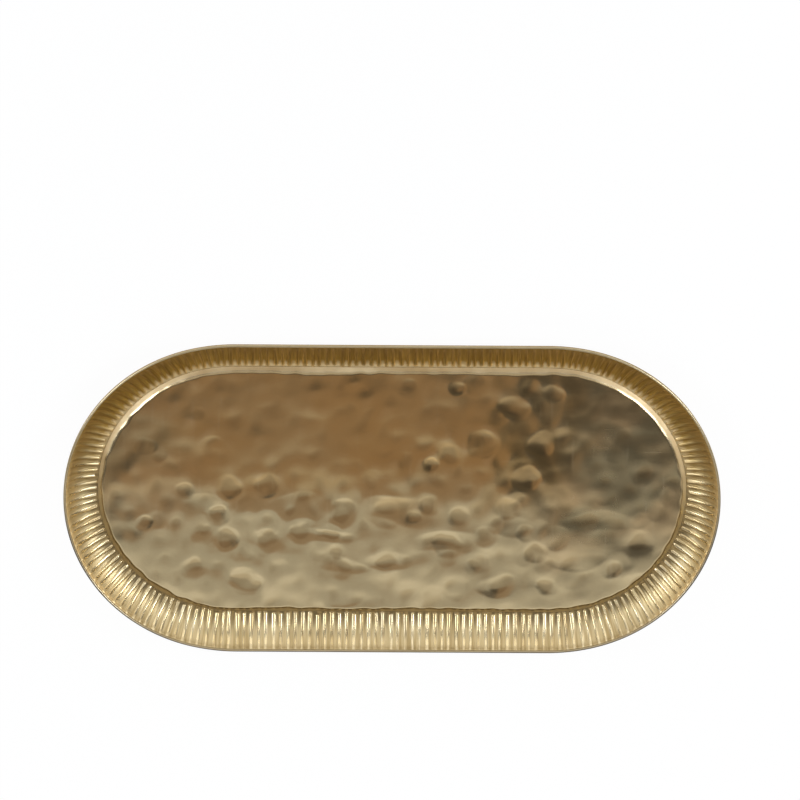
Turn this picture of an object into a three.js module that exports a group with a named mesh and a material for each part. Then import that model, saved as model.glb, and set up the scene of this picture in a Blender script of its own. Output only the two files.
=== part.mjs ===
// Oval brass tray: a raised hammered floor, a fluted rim that coves up and out
// around it, and a half-round border wire soldered along the rim's edge.
// Millimetres, +Z up. The origin is on the surface the tray stands on, under its middle.
// "Inset" is the distance inwards from the tray's outer outline, square to it.
import * as THREE from "three";

// Overall size.
const TRAY_LENGTH = 450;
const TRAY_WIDTH = 230;
const TRAY_HEIGHT = 18.5;

// Plan outline: straight sides, a wide shoulder arc, then a tighter arc round each end.
const SHOULDER_RADIUS = 131;
const SHOULDER_TURN = THREE.MathUtils.degToRad(14);

// Rim: a sheet with a flat foot, a fluted cove and a flat margin that carries the wire.
const RIM_SHEET = 0.8;
const RIM_WIDTH = 23;
const FOOT_LAP = 6;
const ROOT_SLOPE = THREE.MathUtils.degToRad(20);
const FLUTE_PITCH = 5;
const FLUTE_DEPTH = 1.2;

// Border wire: half round, flat side down on the rim's margin.
const WIRE_WIDTH = 1.8;
const WIRE_RISE = 1.1;

// Floor: a sheet that stands clear of the table, with its edge turned down to the foot.
const FLOOR_SHEET = 1.2;
const FLOOR_CLEARANCE = 3;
const STEP_RUN = 3.4;
const STEP_LAND = 1.8;
const STEP_GAP = 0.4;

// Solder: one layer under the floor's turned edge and one under the wire.
const SOLDER_THICKNESS = 0.3;
const SOLDER_SETBACK = 0.3;

// Facets: each flute takes a ridge line and a groove line; plain rings take one in four.
// Their number is a multiple of four, so that lines fall on the tips and the sides' middles.
const LINES_PER_FLUTE = 2;
const LINES_PER_FACET = 4;
const QUARTERS = 4;
const COVE_RINGS = 3;
const WIRE_STEPS = 6;

// Heights of the seats that the pieces share.
const FLOOR_TOP = FLOOR_CLEARANCE + FLOOR_SHEET;
const FLOOR_SEAT = RIM_SHEET + SOLDER_THICKNESS;
const WIRE_SEAT = TRAY_HEIGHT - WIRE_RISE;
const MARGIN_TOP = WIRE_SEAT - SOLDER_THICKNESS;
const STEP_FOOT_INSET = RIM_WIDTH + STEP_GAP;

// The outline at a given inset, anticlockwise from the middle of the -Y side.
function outline(inset) {
  const halfWidth = TRAY_WIDTH / 2;
  const shoulderY = SHOULDER_RADIUS - halfWidth;
  const radiusStep = shoulderY / Math.cos(SHOULDER_TURN);
  const tipRadius = SHOULDER_RADIUS - radiusStep;
  const tipX = TRAY_LENGTH / 2 - tipRadius;
  const straightX = tipX - radiusStep * Math.sin(SHOULDER_TURN);
  const path = new THREE.Path();
  path.moveTo(0, inset - halfWidth);
  path.lineTo(straightX, inset - halfWidth);
  for (const side of [1, -1]) {
    const start = (-side * Math.PI) / 2;
    const end = start + Math.PI;
    const shoulderEnd = start + SHOULDER_TURN;
    const tipEnd = end - SHOULDER_TURN;
    path.absarc(side * straightX, side * shoulderY, SHOULDER_RADIUS - inset, start, shoulderEnd);
    path.absarc(side * tipX, 0, tipRadius - inset, shoulderEnd, tipEnd);
    path.absarc(side * straightX, -side * shoulderY, SHOULDER_RADIUS - inset, tipEnd, end);
  }
  path.closePath();
  return path;
}

// Lines across the rim, evenly spaced along its middle: a point there and the way out.
const SPINE_INSET = RIM_WIDTH / 2;

function rimLines() {
  const spine = outline(SPINE_INSET);
  const facetLength = (FLUTE_PITCH * LINES_PER_FACET) / LINES_PER_FLUTE;
  const facetsPerQuarter = Math.round(spine.getLength() / facetLength / QUARTERS);
  const count = facetsPerQuarter * QUARTERS * LINES_PER_FACET;
  return Array.from({ length: count }, (_, i) => {
    const along = spine.getTangent(i / count);
    return { point: spine.getPoint(i / count), out: new THREE.Vector2(along.y, -along.x) };
  });
}

const FLUTE_LINES = rimLines();
const FACET_LINES = FLUTE_LINES.filter((_, i) => i % LINES_PER_FACET === 0);

function place(line, inset, z) {
  const spot = line.point.clone().addScaledVector(line.out, SPINE_INSET - inset);
  return [spot.x, spot.y, z];
}

// A plain ring of points at one inset and height.
function facetRing({ inset, z }) {
  return FACET_LINES.map((line) => place(line, inset, z));
}

// Triangles between two rings that may differ in how many points they have.
function joinRings(first, second) {
  const faces = [];
  let i = 0;
  let j = 0;
  while (i < first.length || j < second.length) {
    const a = first[i % first.length];
    const b = second[j % second.length];
    if ((i + 0.5) / first.length <= (j + 0.5) / second.length) {
      i += 1;
      faces.push(a, b, first[i % first.length]);
    } else {
      j += 1;
      faces.push(a, b, second[j % second.length]);
    }
  }
  return faces;
}

// Numbers the rings' points and joins each ring to the next one.
function skin(rings) {
  const positions = [];
  const numbered = rings.map((ring) => ring.map((point) => positions.push(point) - 1));
  const faces = numbered.slice(1).flatMap((ring, k) => joinRings(numbered[k], ring));
  return { positions, numbered, faces };
}

function toGeometry(positions, faces) {
  const geometry = new THREE.BufferGeometry();
  geometry.setAttribute("position", new THREE.Float32BufferAttribute(positions.flat(), 3));
  geometry.setIndex(faces);
  geometry.computeVertexNormals();
  return geometry;
}

// A hoop: the rings go out over its top and back under it.
function hoop(rings) {
  const { positions, numbered, faces } = skin(rings);
  faces.push(...joinRings(numbered.at(-1), numbered[0]));
  return toGeometry(positions, faces);
}

// A dish: the rings go out over its top and back under it, and each flat middle is filled.
function dish(rings) {
  const { positions, numbered, faces } = skin(rings);
  const topMiddle = positions.push([0, 0, rings[0][0][2]]) - 1;
  const bottomMiddle = positions.push([0, 0, rings.at(-1)[0][2]]) - 1;
  const top = numbered[0];
  const bottom = numbered.at(-1);
  top.forEach((spot, k) => faces.push(topMiddle, spot, top[(k + 1) % top.length]));
  bottom.forEach((spot, k) => faces.push(bottomMiddle, bottom[(k + 1) % bottom.length], spot));
  return toGeometry(positions, faces);
}

// The cove in section is one arc, shallow at the root and steep at the lip. At a share of
// the way up it, this gives the middle of the sheet and the sheet's slope.
const COVE_RUN = RIM_WIDTH - WIRE_WIDTH;
const COVE_RISE = MARGIN_TOP - RIM_SHEET;

function coveAt(share) {
  const chordSlope = Math.atan2(COVE_RISE, COVE_RUN);
  const turn = 2 * (chordSlope - ROOT_SLOPE);
  const radius = Math.hypot(COVE_RUN, COVE_RISE) / (2 * Math.sin(turn / 2));
  const slope = ROOT_SLOPE + turn * share;
  return {
    inset: RIM_WIDTH - radius * (Math.sin(slope) - Math.sin(ROOT_SLOPE)),
    z: RIM_SHEET / 2 + radius * (Math.cos(ROOT_SLOPE) - Math.cos(slope)),
    slope,
  };
}

// One fluted ring, `lift` above the middle of the sheet: ridges and grooves in turn.
function fluteRing(share, lift) {
  const { inset, z, slope } = coveAt(share);
  return FLUTE_LINES.map((line, i) => {
    const ridge = i % LINES_PER_FLUTE === 0;
    const height = lift + (ridge ? FLUTE_DEPTH / 2 : -FLUTE_DEPTH / 2);
    return place(line, inset + height * Math.sin(slope), z + height * Math.cos(slope));
  });
}

function flutedRim() {
  const shares = Array.from({ length: COVE_RINGS }, (_, k) => (k + 0.5) / COVE_RINGS);
  const side = (z, lift) => [
    facetRing({ inset: RIM_WIDTH + FOOT_LAP, z }),
    facetRing({ inset: RIM_WIDTH, z }),
    ...shares.map((share) => fluteRing(share, lift)),
    facetRing({ inset: WIRE_WIDTH, z: z + COVE_RISE }),
    facetRing({ inset: 0, z: z + COVE_RISE }),
  ];
  const top = side(RIM_SHEET, RIM_SHEET / 2);
  const bottom = side(0, -RIM_SHEET / 2).reverse();
  return hoop([...top, ...bottom]);
}

// The floor sheet: flat top, edge sloping down to a narrow land on the rim's foot.
function basePlate() {
  const stepTop = STEP_FOOT_INSET + STEP_RUN;
  const section = [
    { inset: stepTop, z: FLOOR_TOP },
    { inset: STEP_FOOT_INSET, z: FLOOR_SEAT },
    { inset: STEP_FOOT_INSET + STEP_LAND, z: FLOOR_SEAT },
    { inset: stepTop + STEP_LAND, z: FLOOR_CLEARANCE },
  ];
  return dish(section.map(facetRing));
}

function edgeWire() {
  const middle = WIRE_WIDTH / 2;
  const section = Array.from({ length: WIRE_STEPS + 1 }, (_, k) => {
    const angle = (Math.PI * k) / WIRE_STEPS;
    return { inset: middle + middle * Math.cos(angle), z: WIRE_SEAT + WIRE_RISE * Math.sin(angle) };
  });
  return hoop(section.map(facetRing));
}

// A flat layer of solder between two insets, standing on a height.
function solderLayer(innerInset, outerInset, seat) {
  const section = [
    { inset: innerInset, z: seat + SOLDER_THICKNESS },
    { inset: outerInset, z: seat + SOLDER_THICKNESS },
    { inset: outerInset, z: seat },
    { inset: innerInset, z: seat },
  ];
  return hoop(section.map(facetRing));
}

function baseSolder() {
  return solderLayer(STEP_FOOT_INSET + STEP_LAND, STEP_FOOT_INSET, RIM_SHEET);
}

function edgeSolder() {
  return solderLayer(WIRE_WIDTH - SOLDER_SETBACK, SOLDER_SETBACK, MARGIN_TOP);
}

function subPart(name, geometry, colour, roughness) {
  const material = new THREE.MeshStandardMaterial({ color: colour, roughness, metalness: 1 });
  const mesh = new THREE.Mesh(geometry, material);
  mesh.name = name;
  return mesh;
}

const tray = new THREE.Group();
tray.add(
  subPart("base_plate", basePlate(), 0x9a8358, 0.32),
  subPart("fluted_rim", flutedRim(), 0xc8a860, 0.3),
  subPart("edge_wire", edgeWire(), 0xb89c5e, 0.35),
  subPart("base_solder", baseSolder(), 0xa8a294, 0.5),
  subPart("edge_solder", edgeSolder(), 0xa8a294, 0.5),
);

export default tray;
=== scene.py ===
import math

import bmesh
import bpy
import numpy as np
from mathutils import Matrix, Vector


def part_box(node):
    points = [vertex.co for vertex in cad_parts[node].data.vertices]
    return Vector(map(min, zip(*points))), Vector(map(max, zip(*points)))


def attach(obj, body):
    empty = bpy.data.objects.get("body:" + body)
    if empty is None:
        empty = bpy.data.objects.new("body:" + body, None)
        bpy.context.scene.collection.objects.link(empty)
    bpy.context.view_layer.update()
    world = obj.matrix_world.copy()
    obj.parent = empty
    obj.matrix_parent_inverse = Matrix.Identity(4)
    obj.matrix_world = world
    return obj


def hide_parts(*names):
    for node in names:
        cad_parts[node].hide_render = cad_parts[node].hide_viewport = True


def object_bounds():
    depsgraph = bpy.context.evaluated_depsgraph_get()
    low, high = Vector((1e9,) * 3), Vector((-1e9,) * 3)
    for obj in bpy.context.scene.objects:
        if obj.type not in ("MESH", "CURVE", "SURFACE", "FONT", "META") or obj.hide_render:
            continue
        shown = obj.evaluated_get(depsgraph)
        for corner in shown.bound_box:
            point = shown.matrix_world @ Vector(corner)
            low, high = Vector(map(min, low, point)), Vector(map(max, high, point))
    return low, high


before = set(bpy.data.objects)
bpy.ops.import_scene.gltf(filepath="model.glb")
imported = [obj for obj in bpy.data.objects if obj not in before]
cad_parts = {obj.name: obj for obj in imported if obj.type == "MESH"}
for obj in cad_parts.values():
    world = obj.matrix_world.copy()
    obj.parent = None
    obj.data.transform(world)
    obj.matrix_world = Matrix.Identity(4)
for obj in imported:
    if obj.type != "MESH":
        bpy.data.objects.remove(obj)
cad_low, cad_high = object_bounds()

# ---------------------------------------------------------------- sizes, in metres
MM = 0.001

plate_low, plate_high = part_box("base_plate")
_, rim_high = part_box("fluted_rim")
wire_low, wire_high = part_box("edge_wire")

# Plan outline: straight sides, a wide shoulder arc, then a tighter arc round each end.
HALF_LENGTH = cad_high.x
HALF_WIDTH = cad_high.y
SHOULDER_RADIUS = 131 * MM
SHOULDER_TURN = math.radians(14)

# Heights and insets that the CAD pieces' boxes give. An inset runs inwards from the outline.
FLOOR_TOP = plate_high.z
FLOOR_SEAT = plate_low.z
MARGIN_TOP = rim_high.z
STEP_FOOT_INSET = HALF_LENGTH - plate_high.x

# Sizes of the CAD pieces that their boxes don't give.
RIM_SHEET = 0.8 * MM
FLOOR_SHEET = 1.2 * MM
WIRE_WIDTH = 1.8 * MM
STEP_GAP = 0.4 * MM
RIM_WIDTH = STEP_FOOT_INSET - STEP_GAP
FOOT_LAP = 6 * MM
STEP_RUN = 3.4 * MM
STEP_LAND = 1.8 * MM
ROOT_SLOPE = math.radians(20)


# ---------------------------------------------------------------- outline
def outline_lines(count, inset):
    """Points evenly spaced round the outline at an inset, and the way out at each.

    Moving a point along its way out gives the same line's point at another inset.
    """
    shoulder_y = SHOULDER_RADIUS - HALF_WIDTH
    radius_step = shoulder_y / math.cos(SHOULDER_TURN)
    tip_radius = SHOULDER_RADIUS - radius_step
    tip_x = HALF_LENGTH - tip_radius
    straight_x = tip_x - radius_step * math.sin(SHOULDER_TURN)
    # Each run: the arc's centre, radius, start and end. A radius of 0 stands for the straight.
    runs = []
    for side in (1, -1):
        start = -side * math.pi / 2
        end = start + math.pi
        first, last = start + SHOULDER_TURN, end - SHOULDER_TURN
        runs.append(((0, 0), 0, start, start, side))
        runs.append(((side * straight_x, side * shoulder_y), SHOULDER_RADIUS, start, first, side))
        runs.append(((side * tip_x, 0), tip_radius, first, last, side))
        runs.append(((side * straight_x, -side * shoulder_y), SHOULDER_RADIUS, last, end, side))
    lengths = [(r - inset) * (b - a) if r else 2 * straight_x for _, r, a, b, _ in runs]
    ends = np.cumsum(lengths)
    distance = np.arange(count) / count * ends[-1]
    which = np.searchsorted(ends, distance, side="right")
    points = np.zeros((count, 2))
    out = np.zeros((count, 2))
    for k, (centre, radius, start, _, side) in enumerate(runs):
        here = which == k
        along = distance[here] - (ends[k] - lengths[k])
        if radius:
            angle = start + along / (radius - inset)
            out[here] = np.stack([np.cos(angle), np.sin(angle)], 1)
            points[here] = np.array(centre) + (radius - inset) * out[here]
        else:
            out[here] = (0, -side)
            points[here, 0] = side * (along - straight_x)
            points[here, 1] = -side * (HALF_WIDTH - inset)
    return points, out


# ---------------------------------------------------------------- smooth noise
WAVES = 9
PITCH_SPREAD = (0.7, 1.4)


def wave_noise(x, y, scale, seed, octaves=3):
    """Smooth noise of about -1 to 1, summed from turned waves."""
    rng = np.random.default_rng(seed)
    total = np.zeros(np.shape(x))
    weight = 0.0
    for octave in range(octaves):
        strength = 0.5 ** octave
        for _ in range(WAVES):
            angle, phase = rng.uniform(0, 2 * math.pi, 2)
            pitch = scale / 2 ** octave * rng.uniform(*PITCH_SPREAD)
            across = x * math.cos(angle) + y * math.sin(angle)
            total += strength * np.sin(across * 2 * math.pi / pitch + phase)
        weight += strength * WAVES ** 0.5
    return total / weight


def loop_noise(share, cycles, seed):
    """Smooth noise round a closed loop, of waves that go round up to so many times.

    A share runs from 0 to 1 once round.
    """
    rng = np.random.default_rng(seed)
    lowest = max(1, cycles // 3)
    total = np.zeros_like(share)
    for k in range(lowest, cycles + 1):
        total += rng.normal() * np.sin(2 * math.pi * k * share + rng.uniform(0, 2 * math.pi))
    return total / math.sqrt((cycles - lowest + 1) / 2)


def ease(low, high, value):
    """0 below low, 1 above high and a smooth change between them."""
    t = np.clip((value - low) / (high - low), 0, 1)
    return t * t * (3 - 2 * t)


# ---------------------------------------------------------------- mesh building
def sheet_piece(name, rings, closed):
    """A mesh whose rings are joined in order, and last to first if the section is closed."""
    rings = np.asarray(rings)
    ring_count, line_count, _ = rings.shape
    index = np.arange(ring_count * line_count).reshape(ring_count, line_count)
    first = index if closed else index[:-1]
    second = np.roll(index, -1, 0) if closed else index[1:]
    quads = np.stack([first, second, np.roll(second, -1, 1), np.roll(first, -1, 1)], -1)
    mesh = bpy.data.meshes.new(name)
    mesh.from_pydata(rings.reshape(-1, 3).tolist(), [], quads.reshape(-1, 4).tolist())
    mesh.update()
    mesh.shade_smooth()
    piece = bpy.data.objects.new(name, mesh)
    bpy.context.scene.collection.objects.link(piece)
    return piece


def add_attribute(piece, name, values, kind="FLOAT"):
    """A value or a vector at each point of the mesh, which the materials read."""
    layer = piece.data.attributes.new(name, kind, "POINT")
    field = "value" if kind == "FLOAT" else "vector"
    layer.data.foreach_set(field, np.asarray(values, np.float32).ravel())


def merge_points(piece, distance):
    work = bmesh.new()
    work.from_mesh(piece.data)
    bmesh.ops.remove_doubles(work, verts=work.verts, dist=distance)
    work.to_mesh(piece.data)
    work.free()
    piece.data.update()


# ---------------------------------------------------------------- hammered floor
# The plainest hammer marks: x, y, radius and depth, in millimetres.
MARKS = [
    (-113, 3, 10, 0.46), (-86, 5, 10, 0.44), (-142, 0, 7, 0.36), (-170, -24, 6, 0.30),
    (-120, -19, 8.5, 0.34), (-86, -23, 9, 0.26), (-33, -17, 10.5, 0.44), (-61, -31, 10, 0.38),
    (-114, -36, 9.5, 0.42), (-88, -39, 10, 0.22), (-42, -31, 6.5, 0.26), (-5, -17, 11, 0.30),
    (-100, -68, 11, 0.30), (-138, -59, 9, 0.20), (-35, -57, 9, 0.14), (-4, -51, 9, 0.26),
    (-121, 30, 10, 0.24), (-133, 57, 6, 0.14), (-169, 33, 7, 0.16), (-160, 26, 6, 0.14),
    (-26, 70, 11, 0.12), (12, 78, 8, 0.20), (44, 76, 5, 0.30), (58, 80, 9, 0.20),
    (84, 63, 10, 0.36), (61, 36, 11, 0.42), (38, 29, 9, 0.22), (27, 20, 5.5, 0.26),
    (95, 76, 9, 0.24), (109, 74, 7, 0.26), (102, 36, 10, 0.34), (92, 10, 10, 0.36),
    (79, -12, 9, 0.30), (47, -20, 8, 0.26), (25, -10, 8, 0.32), (15, -18, 6, 0.26),
    (38, -40, 10, 0.34), (64, -34, 8, 0.28), (92, -30, 7, 0.24), (113, -34, 9, 0.30),
    (99, -46, 8, 0.32), (75, -69, 9, 0.22), (107, -71, 7, 0.26), (151, -57, 8, 0.24),
    (171, -37, 9, 0.24), (155, 45, 9, 0.16), (170, 16, 9, 0.16), (189, -3, 7, 0.24),
]
# Long shallow troughs along X: x, y, half length, half width and depth, in millimetres.
TROUGHS = [
    (4, -14, 25, 12, 0.62), (37, -38, 24, 9, 0.44), (-2, -50, 17, 8, 0.38),
    (-32, -57, 18, 6, 0.22), (72, -71, 15, 8, 0.26), (-32, -78, 15, 5, 0.14),
    (82, -25, 16, 9, 0.26), (-66, -12, 20, 10, 0.26), (-100, -68, 13, 9, 0.26),
    (140, -22, 26, 9, 0.26), (126, -50, 22, 8, 0.24), (-160, 12, 14, 20, 0.22),
    (-128, -12, 18, 10, 0.20), (-46, -34, 22, 7, 0.24), (106, 70, 12, 15, 0.30),
    (156, 62, 22, 14, 0.26),
]
# Where a trough fades out, as multiples of its half sizes, and how far it bends.
TROUGH_FADE = (1.2, 1.8)
BEND = 3 * MM
BEND_PITCH = 40 * MM
# Faint marks: their number, their spread as shares of the half sizes, their radii and depths in
# millimetres, and the places across the tray, as shares of its half width, where they get deeper.
FAINT_MARKS = 150
FAINT_SPREAD = (0.9, 0.78)
FAINT_RADII = (6, 13)
FAINT_DEPTH = 0.05
FAINT_DEEPER = 0.11
DEEPER_BETWEEN = (0.2, -0.4)
DEPTH_VARIETY = (0.4, 1.2)
# A mark leans to one side, its outline wobbles and its edge is softened.
MARK_LEAN = 0.35
MARK_SOFTNESS = 0.03
WOBBLE = 1.3 * MM
WOBBLE_PITCH = 26 * MM
# The sheet swells gently between the marks.
SWELL = 0.42 * MM
SWELL_PITCH = 70 * MM
FINE_SWELL = 0.035 * MM
FINE_PITCH = 15 * MM
# Between its marks the floor lies about this much under the CAD floor's top.
FLOOR_DROP = 0.45 * MM


def all_marks():
    """The plain marks and many faint ones, which are deeper on the -Y half."""
    rng = np.random.default_rng(seed=7)
    marks = [(x * MM, y * MM, r * MM, d * MM) for x, y, r, d in MARKS]
    spread_x, spread_y = FAINT_SPREAD
    for _ in range(FAINT_MARKS):
        x = rng.uniform(-spread_x, spread_x) * HALF_LENGTH
        y = rng.uniform(-spread_y, spread_y) * HALF_WIDTH
        depth = FAINT_DEPTH + FAINT_DEEPER * float(ease(*DEEPER_BETWEEN, y / HALF_WIDTH))
        radius = rng.uniform(*FAINT_RADII) * MM
        marks.append((x, y, radius, depth * rng.uniform(*DEPTH_VARIETY) * MM))
    return [(*mark, rng.uniform(0, 2 * math.pi)) for mark in marks]


def bowl(reach):
    """A hollow's depth, from 1 in the middle to 0 at a reach of 1, with a softened edge."""
    inside = 1 - reach ** 2
    return (inside + np.sqrt(inside ** 2 + MARK_SOFTNESS)) / 2


def hammered(x, y):
    """The floor's height at a place, from its level between the marks."""
    height = SWELL * wave_noise(x, y, SWELL_PITCH, seed=3)
    height += FINE_SWELL * wave_noise(x, y, FINE_PITCH, seed=4, octaves=1)
    wobble = WOBBLE * wave_noise(x, y, WOBBLE_PITCH, seed=5, octaves=2)
    for cx, cy, radius, depth, turn in all_marks():
        near = (np.abs(x - cx) < 2 * radius) & (np.abs(y - cy) < 2 * radius)
        across, along = x[near] - cx, y[near] - cy
        lean = 1 + MARK_LEAN * (across * math.cos(turn) + along * math.sin(turn)) / radius
        height[near] -= depth * lean * bowl((np.hypot(across, along) + wobble[near]) / radius)
    bend = BEND * wave_noise(x, y, BEND_PITCH, seed=6, octaves=1)
    for cx, cy, half_length, half_width, depth in np.array(TROUGHS) * MM:
        reach = np.hypot((x - cx) / half_length, (y - cy + bend) / half_width)
        height -= depth * bowl(reach) * (1 - ease(*TROUGH_FADE, reach))
    return height


CREST_REACH = 5 * MM
CREST_HEIGHT = 0.16 * MM


def crest(x, y):
    """How far a place stands proud of its surroundings, about -1 to 1."""
    ways = ((1, 0), (-1, 0), (0, 1), (0, -1))
    around = sum(hammered(x + a * CREST_REACH, y + b * CREST_REACH) for a, b in ways)
    return np.clip((hammered(x, y) - around / len(ways)) / CREST_HEIGHT, -1, 1)


FLOOR_LINES = 1080
FLOOR_RINGS = 104
EDGE_RINGS = 22
UNDERSIDE_STRIDE = 3
# The floor's lines start on a core along the tray's middle, which ends well inside its round ends.
CORE_STRAIGHT = 70 * MM
CORE_REACH = 125 * MM
# The turned edge, in step runs: where the flat floor starts, the mean run and how much it varies.
FLAT_RUN = 2.6
EDGE_RUN = 1.22
EDGE_WAVE = 0.09
# The variation's waves round the tray, and how far before the foot, in runs, its bend would start.
FINE_WAVES = 90
BROAD_WAVES = 14
FOOT_BEND = -0.35
# The toe of the turned edge reaches towards the flutes: how far out it goes, and how far above
# the rim's foot it ends, as shares of the gap to the flutes.
TOE_REACH = 0.8
TOE_LIFT = 0.1
MERGE_DISTANCE = 0.01 * MM


def core_x(edge_x):
    """Where on the core a line starts: straight in from the edge, then drawn in at the ends."""
    beyond = np.maximum(np.abs(edge_x) - CORE_STRAIGHT, 0)
    end = CORE_REACH - CORE_STRAIGHT
    drawn_in = CORE_STRAIGHT + end * (1 - np.exp(-beyond / end))
    return np.where(beyond > 0, np.sign(edge_x) * drawn_in, edge_x)


def make_floor():
    flat_inset = STEP_FOOT_INSET + FLAT_RUN * STEP_RUN
    edge, out = outline_lines(FLOOR_LINES, flat_inset)
    core = np.stack([core_x(edge[:, 0]), np.zeros(FLOOR_LINES)], 1)
    share = np.linspace(0, 1, FLOOR_RINGS)[:, None, None]
    flat = core + share * (edge - core)
    bands = np.linspace(flat_inset, STEP_FOOT_INSET, EDGE_RINGS)[1:]
    band = edge + out * (flat_inset - bands)[:, None, None]
    plan = np.concatenate([flat, band])
    x, y = plan[..., 0], plan[..., 1]
    insets = np.concatenate([np.full(FLOOR_RINGS, flat_inset), bands])[:, None]

    # How far up the turned edge each point is: 0 at its foot and 1 on the floor.
    round_share = np.arange(FLOOR_LINES) / FLOOR_LINES
    fine = EDGE_WAVE * loop_noise(round_share, FINE_WAVES, seed=31)
    broad = EDGE_WAVE * loop_noise(round_share, BROAD_WAVES, seed=32)
    up = ease(FOOT_BEND, 1.0, (insets - STEP_FOOT_INSET) / (STEP_RUN * (EDGE_RUN + fine + broad)))
    up = (up - up[-1]) / (1 - up[-1])
    floor_z = FLOOR_TOP - FLOOR_DROP
    top_z = FLOOR_SEAT + (floor_z - FLOOR_SEAT) * up + hammered(x, y) * up
    top = np.dstack([x, y, top_z])

    def ring(inset, z):
        places = edge + out * (flat_inset - inset)
        return np.column_stack([places, np.full(FLOOR_LINES, z)])[None]

    toe = ring(STEP_FOOT_INSET - TOE_REACH * STEP_GAP, RIM_SHEET + TOE_LIFT * STEP_GAP)
    foot = ring(STEP_FOOT_INSET + STEP_LAND, FLOOR_SEAT)
    lip = ring(STEP_FOOT_INSET + STEP_LAND + STEP_RUN, floor_z - FLOOR_SHEET)
    under = (top[: FLOOR_RINGS : UNDERSIDE_STRIDE] - (0, 0, FLOOR_SHEET))[::-1]
    rings = np.concatenate([top, toe, foot, lip, under])
    piece = sheet_piece("hammered_floor", rings, closed=False)

    crests = crest(x, y) * up
    below = crests[: FLOOR_RINGS : UNDERSIDE_STRIDE]
    between = np.zeros((3, FLOOR_LINES))
    add_attribute(piece, "crest", np.concatenate([crests, between, below[::-1]]))
    steps = 1 - np.broadcast_to(up, x.shape)
    add_attribute(piece, "step", np.concatenate([steps, between, np.zeros_like(below)]))
    merge_points(piece, MERGE_DISTANCE)
    return piece


# ---------------------------------------------------------------- fluted rim
FLUTES = 216
LINES_PER_FLUTE = 12
FLUTE_HEIGHT = 0.56 * MM
# Across a flute, in flute pitches: half of the ridge's flat top, and the flank beside it.
RIDGE_FLAT = 0.14
RIDGE_FLANK = 0.21
# Along a flute: the cove's length in pitches, and the share of it below the round lower end.
COVE_LENGTH = 5.5
TIP_SHARE = 0.068
# On its way up a flute starts, narrows, gets lower and fades out, between these shares of the cove.
STARTS = (0, 0.06)
NARROWS = (0.15, 0.7)
NARROWING = 0.55
LOWERS = (0.2, 0.9)
LOWERING = 0.68
FADES = (0.95, 1.0)
# How much the flutes differ: in place, tilt and bow, in pitches, and in height and lower end, as
# shares of them. They tilt about one place up the cove.
PLACE_VARIETY = 0.055
TILT_VARIETY = 0.07
TILT_PIVOT = 0.3
BOW_VARIETY = 0.03
BOW_TURN = 7
HEIGHT_VARIETY = 0.13
TIP_VARIETY = 0.28
# Rings up the cove, closer together at the flutes' lower ends and at the margin.
COVE_SHARES = np.concatenate([
    np.linspace(0, 0.14, 12)[:-1],
    np.linspace(0.14, 0.9, 24),
    np.array([0.925, 0.95, 0.975, 1]),
])
# The last ring of the flat foot lies this far inside the cove's root.
ROOT_MARGIN = 1.2 * MM
# The rings of the flat margin, under the wire.
MARGIN_INSETS = (0.9 * WIRE_WIDTH, 0.5 * WIRE_WIDTH, 0.05 * MM)
# Streaks run along the flutes: in their noise, the whole section is this long.
STREAK_LENGTH = 2 * MM


def cove(share):
    """Middle of the rim sheet up the cove: inset, height and slope."""
    run = RIM_WIDTH - WIRE_WIDTH
    rise = MARGIN_TOP - RIM_SHEET
    turn = 2 * (math.atan2(rise, run) - ROOT_SLOPE)
    radius = math.hypot(run, rise) / (2 * math.sin(turn / 2))
    slope = ROOT_SLOPE + turn * share
    inset = RIM_WIDTH - radius * (math.sin(slope) - math.sin(ROOT_SLOPE))
    z = RIM_SHEET / 2 + radius * (math.cos(ROOT_SLOPE) - math.cos(slope))
    return inset, z, slope


def flute_size(share):
    """A flute's half flat width, in pitches, and its height, at a share of the way up the cove."""
    flat = RIDGE_FLAT * (1 - NARROWING * ease(*NARROWS, share))
    lowered = 1 - LOWERING * ease(*LOWERS, share)
    return flat, FLUTE_HEIGHT * lowered * ease(*STARTS, share) * (1 - ease(*FADES, share))


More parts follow.
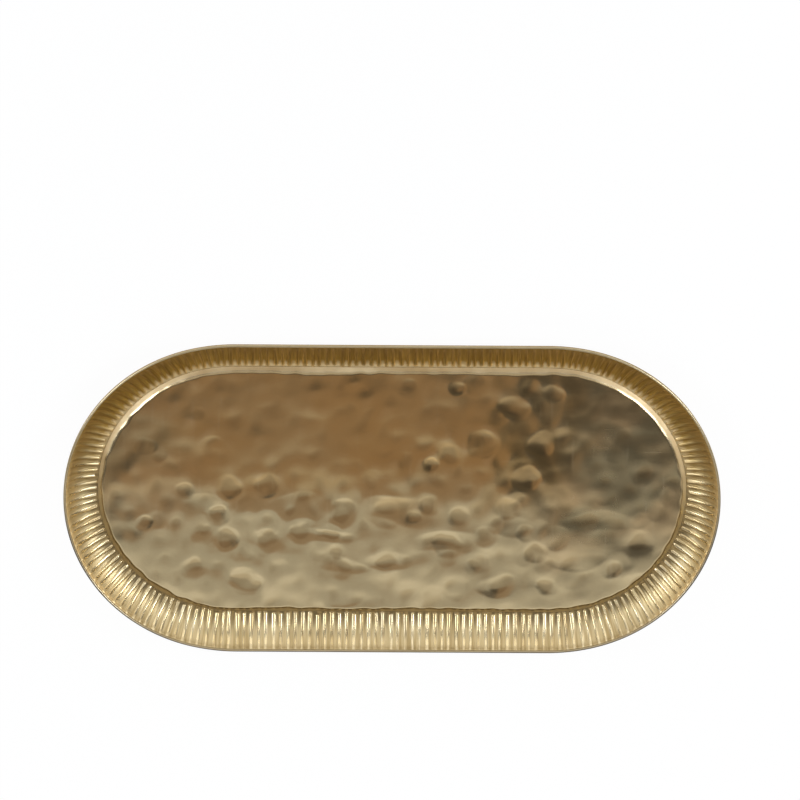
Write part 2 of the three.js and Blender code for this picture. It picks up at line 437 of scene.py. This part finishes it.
def make_rim():
    lines = FLUTES * LINES_PER_FLUTE
    spine_inset = RIM_WIDTH / 2
    spine, out = outline_lines(lines, spine_inset)
    round_share = np.arange(lines) / lines

    def variety(amount, seed, cycles=FLUTES // 2):
        return amount * loop_noise(round_share, cycles, seed)

    phase = FLUTES * round_share + variety(PLACE_VARIETY, 11)
    tilt = variety(TILT_VARIETY, 12, FLUTES // 3)
    tall = 1 + variety(HEIGHT_VARIETY, 13)
    tip = TIP_SHARE * (1 + variety(TIP_VARIETY, 14))
    bow = variety(BOW_VARIETY, 15)

    def at(inset, z):
        places = spine + out * np.reshape(spine_inset - inset, (-1, 1))
        return np.column_stack([places, np.broadcast_to(z, lines)])

    def side(lift):
        """The rings of one face, and how much of a ridge each of their points is."""
        flat_z = RIM_SHEET / 2 + lift
        rings = [at(RIM_WIDTH + FOOT_LAP, flat_z), at(RIM_WIDTH + ROOT_MARGIN, flat_z)]
        ridge = [np.zeros(lines), np.zeros(lines)]
        for share in COVE_SHARES:
            inset, z, slope = cove(share)
            flat, tallest = flute_size(share)
            aside = tilt * (share - TILT_PIVOT) + bow * math.sin(BOW_TURN * share)
            across = (phase + aside + 0.5) % 1 - 0.5
            before_tip = np.maximum(tip - share, 0) * COVE_LENGTH
            body = 1 - ease(flat, flat + RIDGE_FLANK, np.hypot(across, before_tip))
            height = lift + tallest * tall * (2 * body - 1)
            z_now = np.maximum(z + height * math.cos(slope), flat_z)
            rings.append(at(inset + height * math.sin(slope), z_now))
            ridge.append(body)
        for inset in MARGIN_INSETS:
            rings.append(at(inset, MARGIN_TOP - RIM_SHEET / 2 + lift))
            ridge.append(np.full(lines, 0.5))
        return rings, ridge

    top, top_ridge = side(RIM_SHEET / 2)
    bottom, bottom_ridge = side(-RIM_SHEET / 2)
    piece = sheet_piece("fluted_rim_sheet", top + bottom[::-1], closed=True)
    add_attribute(piece, "ridge", np.array(top_ridge + bottom_ridge[::-1]))
    rings = len(top_ridge)
    height = np.linspace(0, STREAK_LENGTH, rings)[:, None]
    fields = [np.broadcast_to(field, (rings, lines)) for field in (spine[:, 0], spine[:, 1], height)]
    lengthways = np.dstack(fields)
    both_faces = np.concatenate([lengthways, lengthways[::-1]])
    add_attribute(piece, "lengthways", both_faces, "FLOAT_VECTOR")
    return piece


# ---------------------------------------------------------------- border wire
WIRE_LINES = 900
WIRE_STEPS = 12
# The wire's width and its wear, as shares of the CAD wire's, and its roundness.
WIRE_FILL = 0.99
WIRE_WEAR = 0.06
WIRE_ROUNDNESS = 0.85
WEAR_WAVES = 60


def make_wire():
    outer, out = outline_lines(WIRE_LINES, 0)
    round_share = np.arange(WIRE_LINES) / WIRE_LINES
    worn = 0.5 + 0.5 * np.tanh(loop_noise(round_share, WEAR_WAVES, seed=21))
    rise = wire_high.z - wire_low.z
    middle = WIRE_WIDTH / 2
    rings = []
    inward = []
    for k in range(WIRE_STEPS + 1):
        angle = math.pi * k / WIRE_STEPS
        inset = middle + WIRE_FILL * middle * math.cos(angle)
        z = wire_low.z + rise * math.sin(angle) ** WIRE_ROUNDNESS * (1 - WIRE_WEAR * worn)
        rings.append(np.column_stack([outer - out * inset, np.broadcast_to(z, WIRE_LINES)]))
        inward.append(np.full(WIRE_LINES, inset / WIRE_WIDTH))
    piece = sheet_piece("border_wire", rings, closed=True)
    add_attribute(piece, "inward", inward)
    return piece


# ---------------------------------------------------------------- material helpers
def new_metal(name):
    material = bpy.data.materials.new(name)
    material.use_nodes = True
    shader = material.node_tree.nodes["Principled BSDF"]
    shader.inputs["Metallic"].default_value = 1.0
    return material, shader


def add_node(material, kind, inputs, **settings):
    """A node with its settings, and inputs that are values or other nodes' outputs."""
    made = material.node_tree.nodes.new(kind)
    for name, value in settings.items():
        setattr(made, name, value)
    for name, value in inputs.items():
        if isinstance(value, bpy.types.NodeSocket):
            material.node_tree.links.new(value, made.inputs[name])
        else:
            made.inputs[name].default_value = value
    return made


def connect(material, output, shader, name):
    material.node_tree.links.new(output, shader.inputs[name])


def blend(material, factor, first, second):
    """Mixes two colours; a factor of 1 gives the second."""
    mix = material.node_tree.nodes.new("ShaderNodeMix")
    mix.data_type = "RGBA"
    for slot, value in (("Factor_Float", factor), ("A_Color", first), ("B_Color", second)):
        socket = next(s for s in mix.inputs if s.identifier == slot)
        if isinstance(value, bpy.types.NodeSocket):
            material.node_tree.links.new(value, socket)
        elif slot == "Factor_Float":
            socket.default_value = value
        else:
            socket.default_value = (*value, 1)
    return next(s for s in mix.outputs if s.identifier == "Result_Color")


def span(material, value, low, high, to_low=0.0, to_high=1.0):
    """Moves a value from one range to another, smoothly and without going past it."""
    inputs = {"Value": value, "From Min": low, "From Max": high, "To Min": to_low, "To Max": to_high}
    made = add_node(material, "ShaderNodeMapRange", inputs, interpolation_type="SMOOTHSTEP")
    return made.outputs["Result"]


def maths(material, operation, first, second):
    return add_node(material, "ShaderNodeMath", {0: first, 1: second}, operation=operation).outputs[0]


def plus(material, first, second):
    return maths(material, "ADD", first, second)


def times(material, first, second):
    return maths(material, "MULTIPLY", first, second)


def object_place(material):
    return add_node(material, "ShaderNodeTexCoord", {}).outputs["Object"]


def split_axes(material, place):
    return add_node(material, "ShaderNodeSeparateXYZ", {0: place}).outputs


def noise(material, place, pitch, detail=3.0, stretch=(1, 1, 1), turn=0.0):
    """Noise whose blotches are about a pitch across, in metres, stretched along the axes."""
    inputs = {"Vector": place, "Scale": tuple(1 / s for s in stretch), "Rotation": (0, 0, turn)}
    turned = add_node(material, "ShaderNodeMapping", inputs).outputs[0]
    inputs = {"Vector": turned, "Scale": 0.5 / pitch, "Detail": detail}
    return add_node(material, "ShaderNodeTexNoise", inputs).outputs["Fac"]


def shifted(material, axis, blotches, reach):
    """A place along an axis, moved to and fro by blotches, so that a zone's edge isn't straight."""
    return plus(material, axis, times(material, maths(material, "SUBTRACT", blotches, 0.5), reach))


def attribute(material, name, output="Fac"):
    return add_node(material, "ShaderNodeAttribute", {}, attribute_name=name).outputs[output]


def bump(material, height, distance, strength):
    inputs = {"Height": height, "Distance": distance, "Strength": strength}
    return add_node(material, "ShaderNodeBump", inputs).outputs["Normal"]


# ---------------------------------------------------------------- materials
# Base colours, linear. Where there are two, the finish varies between them.
# The brown is partly brown tarnish and partly a painted reflection of a brown room; the dark end
# colours below are a painted reflection of dark surroundings.
FLOOR_BROWN = ((0.400, 0.270, 0.120), (0.385, 0.275, 0.135))
FLOOR_PALE = (0.405, 0.330, 0.195)
FLOOR_DARK_REFLECTION = ((0.27, 0.225, 0.132), (0.42, 0.305, 0.165))
# Hollows and crests: partly tarnish in the hollows and polish on the crests, partly painted shade and
# highlight of the hammer marks.
FLOOR_HOLLOW = (0.245, 0.175, 0.085)
FLOOR_PROUD = (0.55, 0.45, 0.28)
FLOOR_SCRATCH = (0.62, 0.54, 0.40)
FLOOR_GRAIN = (0.36, 0.26, 0.14)
# The floor's edge line and turned edge, on the -Y side and on the +Y side: a painted shade on the -Y
# side and painted light on the +Y side.
EDGE_LINE = ((0.17, 0.125, 0.055), (0.62, 0.48, 0.27))
EDGE_TURNED = ((0.47, 0.36, 0.18), (0.82, 0.66, 0.40))
RIM_GOLD = ((0.86, 0.69, 0.39), (0.90, 0.76, 0.48))
# Grooves: a painted shade, darkest at the root of the cove.
RIM_GROOVE_SHADE = ((0.12, 0.08, 0.03), (0.66, 0.52, 0.28))
RIM_STREAK = (0.44, 0.31, 0.13)
# Ends: a painted sheen, lighter and golder on the outer part of the rim at the tray's ends.
RIM_END_SHEEN = (0.90, 0.66, 0.31)
# The +Y side: browns painted as shade.
RIM_SHADE_BROWNS = ((0.44, 0.260, 0.046), (0.33, 0.190, 0.028))
# The root on the +Y side: a painted highlight.
RIM_ROOT_HIGHLIGHT = (0.70, 0.57, 0.34)
WIRE_WORN = ((0.46, 0.36, 0.20), (0.58, 0.48, 0.30))
# Towards -Y: an even painted shade on the wire's top, and a dark painted shade on its outer side.
WIRE_LOW_SIDE_SHADE = (0.56, 0.46, 0.29)
WIRE_OUTER_SHADE = (0.10, 0.09, 0.075)
WIRE_GRAIN = (0.30, 0.22, 0.12)
SOLDER_GREYS = ((0.40, 0.38, 0.34), (0.24, 0.21, 0.17))


def floor_brass():
    """Pale brass, browner towards +Y, darker at the ends, hollows darker and crests lighter: partly
    tarnished and polished, partly painted reflection, shade and highlight.
    """
    material, shader = new_metal("floor_brass_finish")
    place = object_place(material)
    axes = split_axes(material, place)
    crests = attribute(material, "crest")
    step = attribute(material, "step")
    blotch = noise(material, place, 45 * MM, 4)
    cloud = noise(material, place, 90 * MM, 3)
    grain = noise(material, place, 2.2 * MM, 5)

    # Painted reflection: brown towards +Y, over some real brown tarnish, and the plain pale brass
    # towards -Y.
    brown = blend(material, span(material, blotch, 0.38, 0.66), *FLOOR_BROWN)
    along_y = shifted(material, axes["Y"], blotch, 120 * MM)
    along_x = shifted(material, axes["X"], cloud, 160 * MM)
    pale_zone = span(material, along_y, 12 * MM, -22 * MM)
    colour = blend(material, pale_zone, brown, FLOOR_PALE)
    # Painted reflection of dark surroundings: a darker, blotchy tone at the ends.
    right_end = span(material, along_x, 85 * MM, 140 * MM)
    left_end = span(material, along_x, -110 * MM, -160 * MM, 0.0, 0.5)
    ends = maths(material, "MAXIMUM", right_end, left_end)
    dark_reflection_zone = times(material, ends, span(material, along_y, -65 * MM, -10 * MM))
    dark_blotches = noise(material, place, 26 * MM, 3, (1.3, 0.8, 1))
    dark_reflection = blend(material, span(material, dark_blotches, 0.42, 0.60), *FLOOR_DARK_REFLECTION)
    colour = blend(material, times(material, dark_reflection_zone, 0.9), colour, dark_reflection)

    # Hollows darker and crests lighter: partly tarnish and polish, partly painted shade and highlight
    # of the marks.
    hollow = span(material, crests, 0.0, -0.8, 0.0, 0.55)
    colour = blend(material, hollow, colour, FLOOR_HOLLOW)
    proud = span(material, crests, 0.1, 1.0, 0.0, 0.22)
    colour = blend(material, proud, colour, FLOOR_PROUD)
    # Painted light and shade: the edge line and turned edge are dark on the -Y side and pale on the
    # +Y side.
    painted_lit_side = span(material, axes["Y"], -30 * MM, 50 * MM)
    line = blend(material, painted_lit_side, *EDGE_LINE)
    turned = blend(material, painted_lit_side, *EDGE_TURNED)
    colour = blend(material, span(material, step, 0.005, 0.05, 0.0, 0.85), colour, line)
    colour = blend(material, span(material, step, 0.1, 0.5, 0.0, 0.92), colour, turned)

    # Two sets of scratches, across the tray and along it.
    streak = noise(material, place, 1.3 * MM, 3, (1, 14, 1))
    rub = noise(material, place, 0.9 * MM, 2, (22, 1, 1), 0.12)
    streaks = span(material, streak, 0.60, 0.78)
    scratch = plus(material, streaks, span(material, rub, 0.66, 0.80))
    colour = blend(material, times(material, scratch, 0.07), colour, FLOOR_SCRATCH)
    colour = blend(material, span(material, grain, 0.35, 0.75, 0.0, 0.10), colour, FLOOR_GRAIN)
    connect(material, colour, shader, "Base Color")

    rough = span(material, blotch, 0.3, 0.7, 0.10, 0.17)
    rough = plus(material, rough, times(material, dark_reflection_zone, 0.08))
    rough = plus(material, rough, times(material, scratch, 0.04))
    rough = plus(material, rough, span(material, step, 0.1, 0.5, 0.0, 0.38))
    haze = noise(material, place, 7 * MM, 4, (2.4, 1, 1), 0.25)
    rough = plus(material, rough, span(material, haze, 0.35, 0.7, 0.0, 0.06))
    connect(material, rough, shader, "Roughness")

    coarseness = plus(material, 1.0, span(material, step, 0.1, 0.5, 0.0, 3.0))
    coarse_grain = times(material, grain, coarseness)
    fine = maths(material, "SUBTRACT", coarse_grain, times(material, scratch, 0.15))
    connect(material, bump(material, fine, 0.05 * MM, 0.25), shader, "Normal")
    return material


def rim_brass():
    """Gold ridges with streaks; grooves painted darker, the +Y side painted browner as shade, the +Y
    root and the ends painted lighter.
    """
    material, shader = new_metal("rim_brass_finish")
    place = object_place(material)
    axes = split_axes(material, place)
    ridge = attribute(material, "ridge")
    blotch = noise(material, place, 14 * MM, 4)
    grain = noise(material, place, 1.2 * MM, 4)
    cloud = noise(material, place, 60 * MM, 3)
    streak = noise(material, attribute(material, "lengthways", "Vector"), 0.9 * MM, 3)
    height = plus(material, axes["Z"], times(material, grain, 1.5 * MM))

    gold = blend(material, span(material, blotch, 0.35, 0.68), *RIM_GOLD)
    # Painted shade in the grooves, darkest near the root of the cove and fading upwards.
    groove_shade = blend(material, span(material, height, 2.2 * MM, 7.5 * MM), *RIM_GROOVE_SHADE)
    uneven_ridge = plus(material, ridge, times(material, grain, 0.2))
    groove = span(material, uneven_ridge, 0.95, 0.35)
    colour = blend(material, times(material, groove, 0.9), gold, groove_shade)
    streaked = span(material, streak, 0.44, 0.60, 0.0, 0.6)
    colour = blend(material, streaked, colour, RIM_STREAK)

    # Painted sheen: the outer rim at the tray's ends is lighter and golder.
    from_middle = maths(material, "ABSOLUTE", axes["X"], 0.0)
    end_sheen = span(material, from_middle, 170 * MM, 200 * MM, 0.0, 0.7)
    end_sheen = times(material, end_sheen, span(material, height, 7 * MM, 13 * MM))
    colour = blend(material, end_sheen, colour, RIM_END_SHEEN)

    # Painted shade: the rim turns brown and darker towards +Y.
    side = plus(material, axes["Y"], times(material, cloud, 80 * MM))
    shaded_side = span(material, side, 20 * MM, 120 * MM)
    brown = blend(material, span(material, streak, 0.35, 0.65), *RIM_SHADE_BROWNS)
    colour = blend(material, times(material, shaded_side, 0.9), colour, brown)
    # Painted highlight: a lighter band at the root of the cove on the +Y side.
    root = times(material, shaded_side, span(material, height, 4.2 * MM, 1.4 * MM))
    colour = blend(material, times(material, root, 0.75), colour, RIM_ROOT_HIGHLIGHT)
    connect(material, colour, shader, "Base Color")

    rough = span(material, groove, 0.0, 1.0, 0.23, 0.40)
    rough = plus(material, rough, span(material, blotch, 0.4, 0.7, 0.0, 0.06))
    rough = plus(material, rough, times(material, shaded_side, 0.10))
    rough = plus(material, rough, span(material, height, 14.5 * MM, 17 * MM, 0.0, 0.25))
    connect(material, rough, shader, "Roughness")
    grooved = times(material, streak, groove)
    fine = plus(material, times(material, grain, 0.3), grooved)
    connect(material, bump(material, fine, 0.16 * MM, 0.40), shader, "Normal")
    return material


def wire_brass():
    """Worn along the top; towards -Y the top takes an even painted shade and the outer side a dark
    painted shade.
    """
    material, shader = new_metal("wire_brass_finish")
    place = object_place(material)
    axes = split_axes(material, place)
    inward = attribute(material, "inward")
    blotch = noise(material, place, 8 * MM, 4)
    grain = noise(material, place, 0.8 * MM, 4)
    # Painted shade towards -Y: an even tone along the top and a dark line on the outer side.
    low_side = span(material, axes["Y"], 30 * MM, -40 * MM)
    worn = blend(material, low_side, blend(material, blotch, *WIRE_WORN), WIRE_LOW_SIDE_SHADE)
    uneven_inward = plus(material, inward, times(material, blotch, 0.2))
    outer_shade = times(material, span(material, uneven_inward, 0.70, 0.50), low_side)
    colour = blend(material, outer_shade, worn, WIRE_OUTER_SHADE)
    colour = blend(material, span(material, grain, 0.5, 0.8, 0.0, 0.3), colour, WIRE_GRAIN)
    connect(material, colour, shader, "Base Color")
    connect(material, span(material, outer_shade, 0.0, 1.0, 0.30, 0.5), shader, "Roughness")
    connect(material, bump(material, grain, 0.05 * MM, 0.3), shader, "Normal")
    return material


def solder_metal():
    material, shader = new_metal("solder_finish")
    place = object_place(material)
    blotch = noise(material, place, 3 * MM, 4)
    colour = blend(material, span(material, blotch, 0.35, 0.65), *SOLDER_GREYS)
    connect(material, colour, shader, "Base Color")
    connect(material, span(material, blotch, 0.3, 0.7, 0.45, 0.65), shader, "Roughness")
    connect(material, bump(material, blotch, 0.1 * MM, 0.4), shader, "Normal")
    return material


for piece, node, slot, material in (
    (make_floor(), "base_plate", "floor_brass", floor_brass()),
    (make_rim(), "fluted_rim", "rim_brass", rim_brass()),
    (make_wire(), "edge_wire", "wire_brass", wire_brass()),
):
    piece.data.materials.append(material)
    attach(piece, "root")
    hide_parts(node)

solder = solder_metal()
for node in ("base_solder", "edge_solder"):
    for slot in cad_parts[node].material_slots:
        slot.material = solder


# ---------------------------------------------------------------- camera
# The share of its width that the tray keeps from this slant gives the camera's elevation.
WIDTH_KEPT = 0.9156
ELEVATION = math.asin(WIDTH_KEPT)
ROLL = 0.0054
DISTANCE = 8.0
CLIP_END = 100.0
FRAME_WIDTH = 547.6 * MM
SENSOR_WIDTH = 36.0
# How far the tray's middle lies left of the picture's and below it, as shares of its width.
TRAY_LEFT = 0.010
TRAY_BELOW = 0.12455


def make_camera():
    """Above the +Y side, turned so that +Y is at the top of the picture and +X at the right."""
    back = Vector((0, math.cos(ELEVATION), math.sin(ELEVATION)))
    right = Vector((1, 0, 0))
    up = back.cross(right)
    right, up = (
        right * math.cos(ROLL) + up * math.sin(ROLL),
        up * math.cos(ROLL) - right * math.sin(ROLL),
    )
    middle = Vector((0, 0, MARGIN_TOP))
    camera = bpy.data.cameras.new("camera")
    camera.sensor_width = SENSOR_WIDTH
    camera.lens = SENSOR_WIDTH * DISTANCE / FRAME_WIDTH
    camera.clip_end = CLIP_END
    eye = bpy.data.objects.new("camera", camera)
    basis = Matrix((right, up, back)).transposed().to_4x4()
    aside = right * TRAY_LEFT + up * TRAY_BELOW
    basis.translation = middle + back * DISTANCE + aside * FRAME_WIDTH
    eye.matrix_world = basis
    bpy.context.scene.collection.objects.link(eye)
    bpy.context.scene.camera = eye


make_camera()


# ---------------------------------------------------------------- lights and ground
def softbox(name, place, size, radiance, colour=(1, 1, 1), facing=None):
    """A soft area lamp that faces the tray, or along a direction, at an even radiance."""
    place = Vector(place)
    away = place.normalized() if facing is None else -Vector(facing)
    data = bpy.data.lights.new(name, "AREA")
    data.shape = "RECTANGLE"
    data.size, data.size_y = size
    data.color = colour
    data.energy = radiance * math.pi * size[0] * size[1]
    lamp = bpy.data.objects.new(name, data)
    lamp.location = place
    lamp.rotation_euler = away.to_track_quat("Z", "Y").to_euler()
    lamp.visible_camera = False
    bpy.context.scene.collection.objects.link(lamp)


DOWN = (0, 0, -1)
WARM = (1, 0.72, 0.50)
COOL = (0.90, 0.97, 1.10)
# What the floor mirrors: a warm strip for its +Y half, wide soft boxes for its -Y half, and a dim
# one for views from above.
softbox("overhead", (-0.0625, -0.205, 0.6), (0.305, 0.15), 0.43, WARM, DOWN)
softbox("back_near", (0, -0.325, 0.6), (2.4, 0.09), 0.66, facing=DOWN)
softbox("back_far", (0, -0.655, 0.6), (2.4, 0.57), 1.15, facing=DOWN)
softbox("ceiling", (0, 0.10, 1.6), (2.4, 0.62), 0.36, facing=DOWN)
# What the rim's -Y side mirrors, low and high on its cove, and two keys for the corners there.
softbox("front_box", (0, 1.0, 1.7), (2.6, 1.3), 0.46)
softbox("front_wall", (0, 1.6, 0.55), (3.2, 0.9), 1.08)
softbox("key_right", (0.86, 0.32, 0.80), (0.45, 0.45), 9.6, COOL)
softbox("key_left", (-0.89, 0.36, 0.72), (0.45, 0.45), 7.2, COOL)

WORLD_LEVEL = 0.16
WORLD_COLOUR = (1.0, 0.97, 0.93, 1)
GROUND_HALF = 6.0
GROUND_GAP = 0.2 * MM
GROUND_GLOW = 0.96
GROUND_COLOUR = (0.95, 0.95, 0.95, 1)
GROUND_ROUGHNESS = 0.9


def make_world():
    world = bpy.data.worlds.new("studio")
    world.use_nodes = True
    background = world.node_tree.nodes["Background"]
    background.inputs["Color"].default_value = WORLD_COLOUR
    background.inputs["Strength"].default_value = WORLD_LEVEL
    bpy.context.scene.world = world


def ground_finish():
    """Pale and matt; for the camera and in reflections it also glows to near white."""
    material = bpy.data.materials.new("pale_ground")
    material.use_nodes = True
    nodes = material.node_tree.nodes
    shader = nodes["Principled BSDF"]
    shader.inputs["Base Color"].default_value = GROUND_COLOUR
    shader.inputs["Roughness"].default_value = GROUND_ROUGHNESS
    glow = add_node(material, "ShaderNodeEmission", {})
    path = add_node(material, "ShaderNodeLightPath", {}).outputs
    seen = maths(material, "MAXIMUM", path["Is Camera Ray"], path["Is Glossy Ray"])
    seen = maths(material, "MAXIMUM", seen, path["Is Transmission Ray"])
    parts = {0: times(material, seen, GROUND_GLOW), 1: shader.outputs[0], 2: glow.outputs[0]}
    mix = add_node(material, "ShaderNodeMixShader", parts)
    connect(material, mix.outputs[0], nodes["Material Output"], "Surface")
    return material


def make_ground():
    h = GROUND_HALF
    mesh = bpy.data.meshes.new("ground")
    mesh.from_pydata([(-h, -h, 0), (h, -h, 0), (h, h, 0), (-h, h, 0)], [], [(0, 1, 2, 3)])
    ground = bpy.data.objects.new("ground", mesh)
    ground.location.z = cad_low.z - GROUND_GAP
    bpy.context.scene.collection.objects.link(ground)
    ground.data.materials.append(ground_finish())


make_world()
make_ground()

bpy.context.scene.view_settings.view_transform = "Standard"
